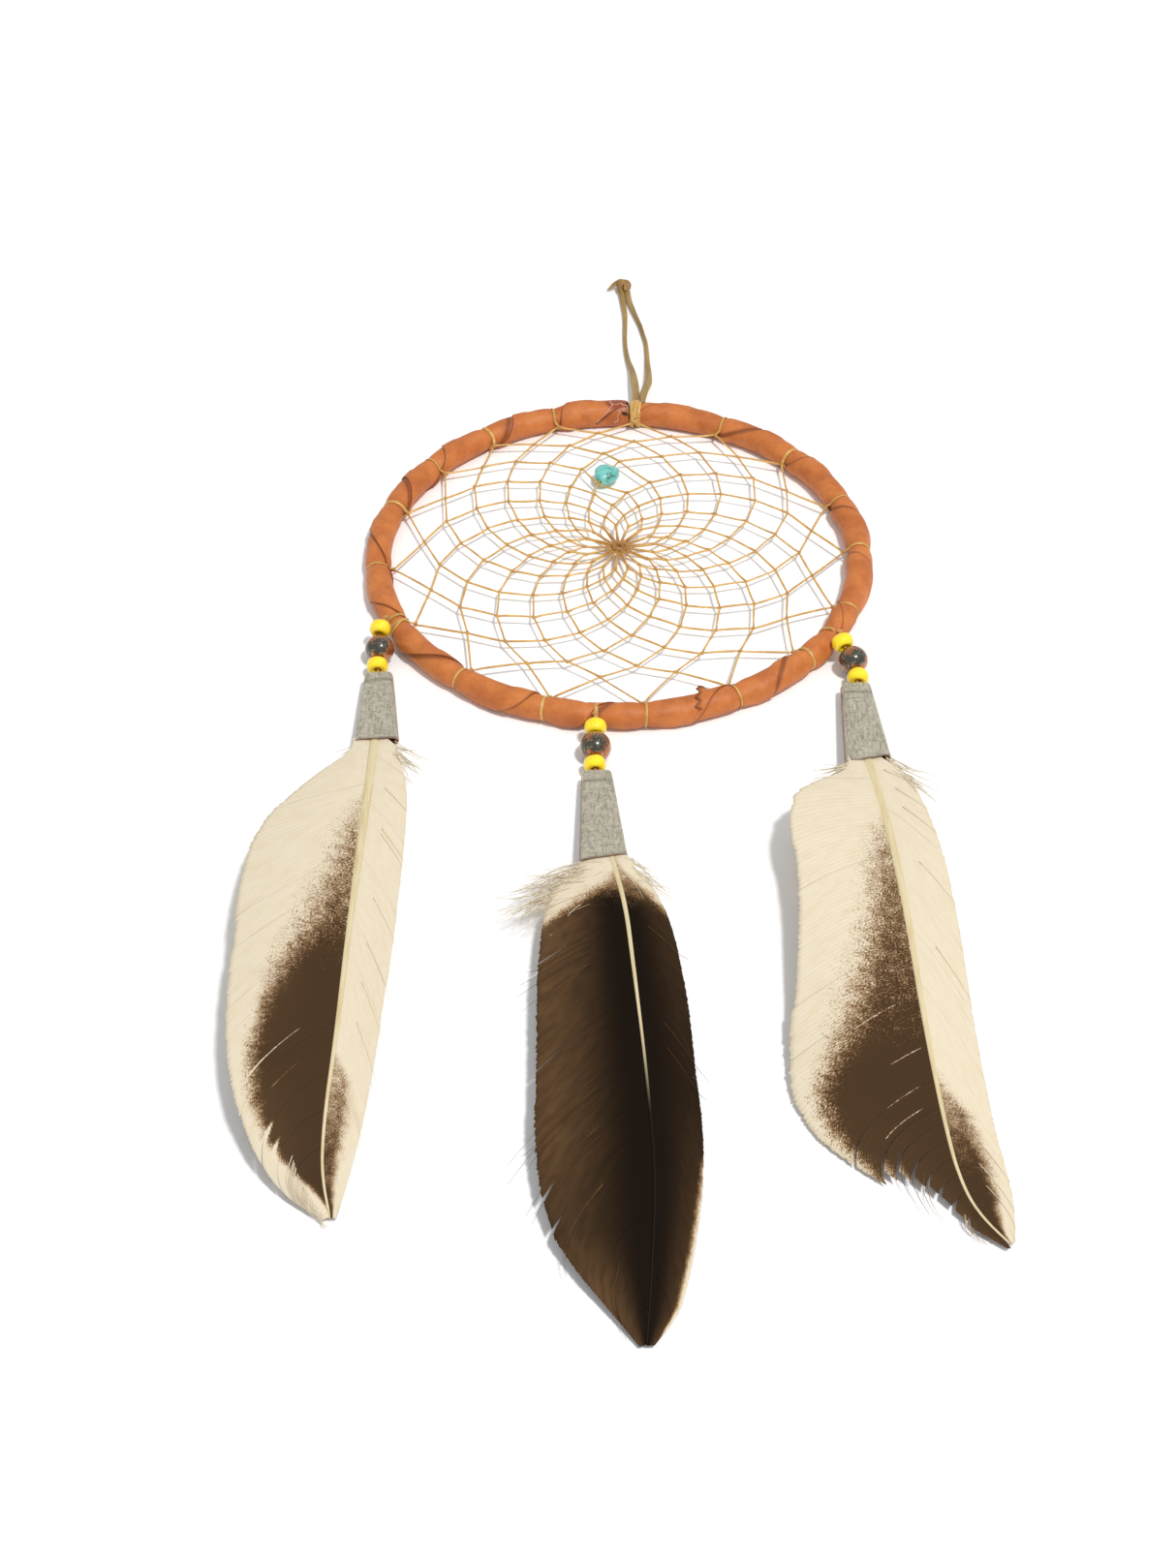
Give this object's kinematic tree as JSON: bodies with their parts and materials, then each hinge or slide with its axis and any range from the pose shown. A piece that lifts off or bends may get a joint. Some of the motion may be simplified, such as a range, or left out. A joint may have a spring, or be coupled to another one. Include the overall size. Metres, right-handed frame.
{
  "type": "dream catcher",
  "caption": "Leather-wrapped hoop with a knotted sinew web, a turquoise chip, a hanging loop and beaded feather pendants in foil-faced sleeves.",
  "frame": {"origin": "middle of the footprint of the ornament lying on its back, at the height of the surface it lies on, measured without the hanging loop", "axes": "+Y from the feathers' tips towards the hanging loop, +X to the right seen from the front with the loop at the top, +Z out of the hoop's front"},
  "size_m": [0.1798, 0.4164, 0.0162],
  "materials": {
    "cane": "dry bent cane",
    "leather": "tan vegetable-tanned leather strip, satin",
    "sinew": "waxed artificial sinew",
    "bead_yellow": "opaque glossy",
    "bead_dark": "polished dark bronze with copper flecks",
    "turquoise": "polished stone with dark veins",
    "foil_leather": "leather faced with speckled silver-grey foil",
    "quill": "horny, ivory",
    "feather_cream": "soft barbs, cream with dark brown mottling",
    "feather_brown": "soft barbs, dark brown"
  },
  "bodies": {
    "hoop": {"hoop_core": "cane", "leather_wrap": "leather", "web_net": "sinew", "web_hitch_1": "sinew", "web_hitch_2": "sinew", "web_hitch_3": "sinew", "web_hitch_4": "sinew", "web_hitch_5": "sinew", "web_hitch_6": "sinew", "web_hitch_7": "sinew", "web_hitch_8": "sinew", "web_hitch_9": "sinew", "web_hitch_10": "sinew", "web_hitch_11": "sinew", "web_hitch_12": "sinew", "web_hitch_13": "sinew", "web_hitch_14": "sinew", "web_hitch_15": "sinew", "web_hitch_16": "sinew", "loop_lashing": "sinew", "left_tie": "sinew", "middle_tie": "sinew", "right_tie": "sinew"},
    "hanging_loop": {"loop_leg_left": "sinew", "loop_leg_right": "sinew", "loop_knot": "sinew"},
    "chip": {"turquoise_chip": "turquoise"},
    "left_tie_swivel": {"left_tie_knot": "sinew"},
    "left_string": {"left_thread": "sinew"},
    "left_drop": {"left_sleeve": "foil_leather", "left_feather_quill": "quill", "left_feather_vane_left": "feather_cream", "left_feather_vane_right": "feather_cream"},
    "left_upper_bead": {"left_bead_upper": "bead_yellow"},
    "left_middle_bead": {"left_bead_middle": "bead_dark"},
    "left_lower_bead": {"left_bead_lower": "bead_yellow"},
    "middle_tie_swivel": {"middle_tie_knot": "sinew"},
    "middle_string": {"middle_thread": "sinew"},
    "middle_drop": {"middle_sleeve": "foil_leather", "middle_feather_quill": "quill", "middle_feather_vane_left": "feather_brown", "middle_feather_vane_right": "feather_brown"},
    "middle_upper_bead": {"middle_bead_upper": "bead_yellow"},
    "middle_middle_bead": {"middle_bead_middle": "bead_dark"},
    "middle_lower_bead": {"middle_bead_lower": "bead_yellow"},
    "right_tie_swivel": {"right_tie_knot": "sinew"},
    "right_string": {"right_thread": "sinew"},
    "right_drop": {"right_sleeve": "foil_leather", "right_feather_quill": "quill", "right_feather_vane_left": "feather_cream", "right_feather_vane_right": "feather_cream"},
    "right_upper_bead": {"right_bead_upper": "bead_yellow"},
    "right_middle_bead": {"right_bead_middle": "bead_dark"},
    "right_lower_bead": {"right_bead_lower": "bead_yellow"}
  },
  "joints": [
    {"name": "loop_fold", "type": "hinge", "parent": "hoop", "child": "hanging_loop", "pos_m": [0.01437, 0.17021, 0.0043], "axis": [1, 0, 0], "range_deg": [0, 110]},
    {"name": "chip_spin", "type": "hinge", "parent": "hoop", "child": "chip", "pos_m": [0.00415, 0.13315, 0.00371], "axis": [0.532, 0.8467, 0], "continuous": true},
    {"name": "left_lift", "type": "hinge", "parent": "hoop", "child": "left_tie_swivel", "pos_m": [-0.05976, 0.0625, 0.00735], "axis": [-1, 0, 0], "range_deg": [0, 90]},
    {"name": "left_sway", "type": "hinge", "parent": "left_tie_swivel", "child": "left_string", "pos_m": [-0.05976, 0.0625, 0.00735], "axis": [0, 0, 1], "range_deg": [-25, 6]},
    {"name": "left_upper_bead_spin", "type": "hinge", "parent": "left_string", "child": "left_upper_bead", "pos_m": [-0.06103, 0.05771, 0.0071], "axis": [0.1392, 0.9643, 0.2251], "continuous": true},
    {"name": "left_middle_bead_spin", "type": "hinge", "parent": "left_string", "child": "left_middle_bead", "pos_m": [-0.06113, 0.05181, 0.0046], "axis": [0.0236, 0.9674, 0.2521], "continuous": true},
    {"name": "left_lower_bead_spin", "type": "hinge", "parent": "left_string", "child": "left_lower_bead", "pos_m": [-0.06133, 0.04541, 0.0039], "axis": [-0.032, 0.9973, 0.0664], "continuous": true},
    {"name": "left_twist", "type": "hinge", "parent": "left_string", "child": "left_drop", "pos_m": [-0.06093, 0.04121, 0.0038], "axis": [0.0471, -0.9948, 0.0907], "range_deg": [-180, 180]},
    {"name": "middle_lift", "type": "hinge", "parent": "hoop", "child": "middle_tie_swivel", "pos_m": [-0.00077, 0.02097, 0.00735], "axis": [-1, 0, 0], "range_deg": [0, 90]},
    {"name": "middle_sway", "type": "hinge", "parent": "middle_tie_swivel", "child": "middle_string", "pos_m": [-0.00077, 0.02097, 0.00735], "axis": [0, 0, 1], "range_deg": [-6, 6]},
    {"name": "middle_upper_bead_spin", "type": "hinge", "parent": "middle_string", "child": "middle_upper_bead", "pos_m": [-0.00083, 0.01691, 0.0059], "axis": [0.0148, 0.9553, 0.2953], "continuous": true},
    {"name": "middle_middle_bead_spin", "type": "hinge", "parent": "middle_string", "child": "middle_middle_bead", "pos_m": [-0.00093, 0.01081, 0.0043], "axis": [0.0314, 0.9856, 0.1664], "continuous": true},
    {"name": "middle_lower_bead_spin", "type": "hinge", "parent": "middle_string", "child": "middle_lower_bead", "pos_m": [-0.00123, 0.00441, 0.0038], "axis": [-0.057, 0.9976, 0.0391], "continuous": true},
    {"name": "middle_twist", "type": "hinge", "parent": "middle_string", "child": "middle_drop", "pos_m": [-0.00063, 0.00071, 0.0038], "axis": [0.0379, -0.9952, 0.0905], "range_deg": [-180, 180]},
    {"name": "right_lift", "type": "hinge", "parent": "hoop", "child": "right_tie_swivel", "pos_m": [0.06836, 0.0532, 0.00735], "axis": [-1, 0, 0], "range_deg": [0, 90]},
    {"name": "right_sway", "type": "hinge", "parent": "right_tie_swivel", "child": "right_string", "pos_m": [0.06836, 0.0532, 0.00735], "axis": [0, 0, 1], "range_deg": [-6, 25]},
    {"name": "right_upper_bead_spin", "type": "hinge", "parent": "right_string", "child": "right_upper_bead", "pos_m": [0.06867, 0.04841, 0.0073], "axis": [-0.2649, 0.9409, 0.211], "continuous": true},
    {"name": "right_middle_bead_spin", "type": "hinge", "parent": "right_string", "child": "right_middle_bead", "pos_m": [0.07137, 0.04351, 0.0049], "axis": [-0.2933, 0.9152, 0.2763], "continuous": true},
    {"name": "right_lower_bead_spin", "type": "hinge", "parent": "right_string", "child": "right_lower_bead", "pos_m": [0.07217, 0.03741, 0.004], "axis": [0.064, 0.993, 0.0997], "continuous": true},
    {"name": "right_twist", "type": "hinge", "parent": "right_string", "child": "right_drop", "pos_m": [0.07117, 0.03361, 0.0038], "axis": [0.0032, -0.998, 0.0632], "range_deg": [-180, 180]}
  ]
}
